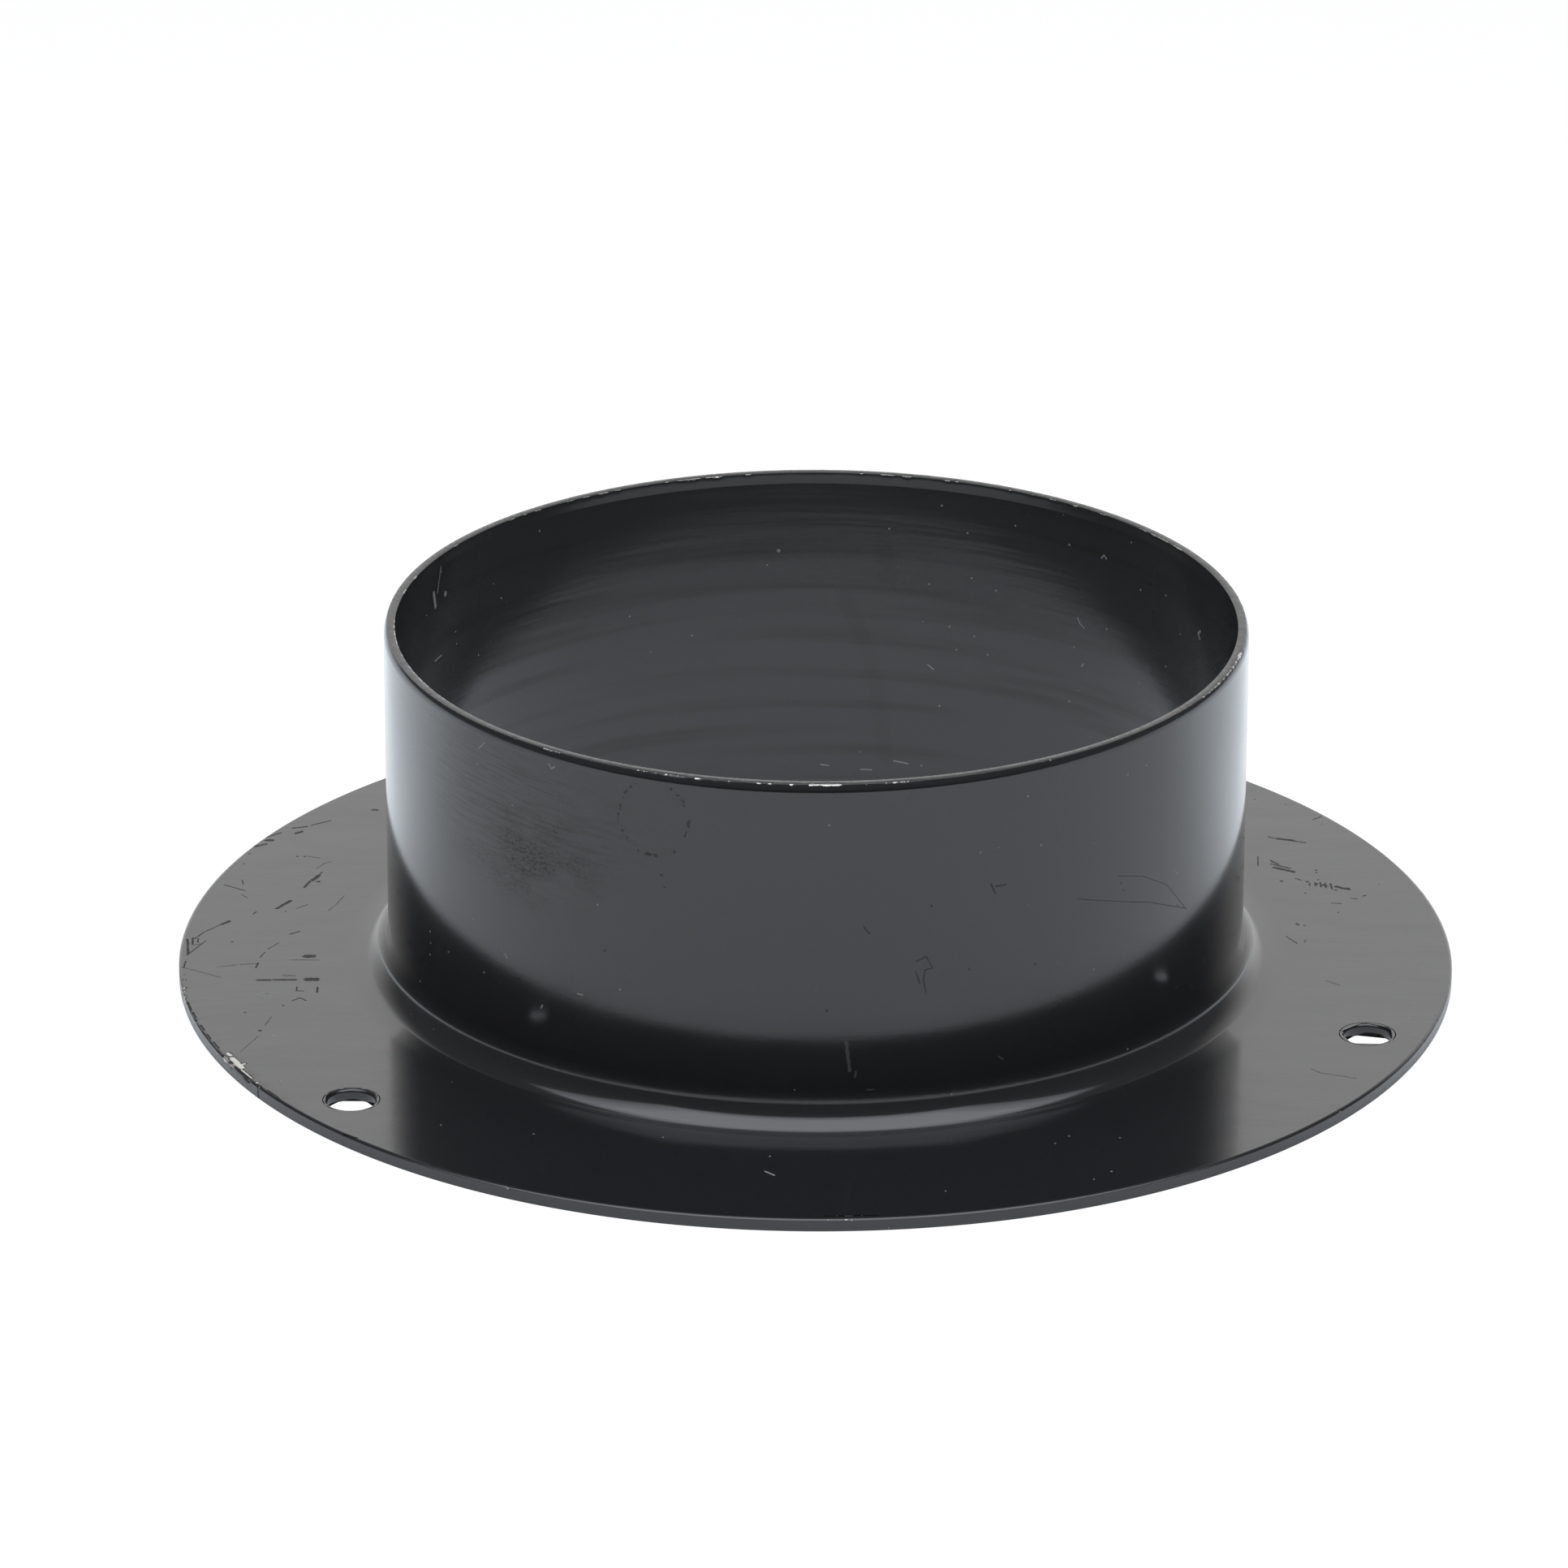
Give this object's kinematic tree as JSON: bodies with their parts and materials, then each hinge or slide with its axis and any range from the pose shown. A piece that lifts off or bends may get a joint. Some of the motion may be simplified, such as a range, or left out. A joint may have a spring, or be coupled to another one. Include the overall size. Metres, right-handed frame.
{
  "type": "hose connector",
  "caption": "Round sheet-metal flange drawn up into a short open collar that a hose slips over, with a ring of screw holes near its edge; worn gloss black paint.",
  "frame": {"origin": "centre of the flange's underside, on the surface it rests or is screwed to", "axes": "+Z along the collar's axis, from the flange to the rim; -Y is the side the picture shows"},
  "size_m": [0.149, 0.149, 0.043],
  "materials": {
    "gloss_black_paint": "gloss black enamel, chipped to bare steel along the rim and edges"
  },
  "bodies": {
    "root": {"flanged_collar": "gloss_black_paint"}
  },
  "joints": []
}
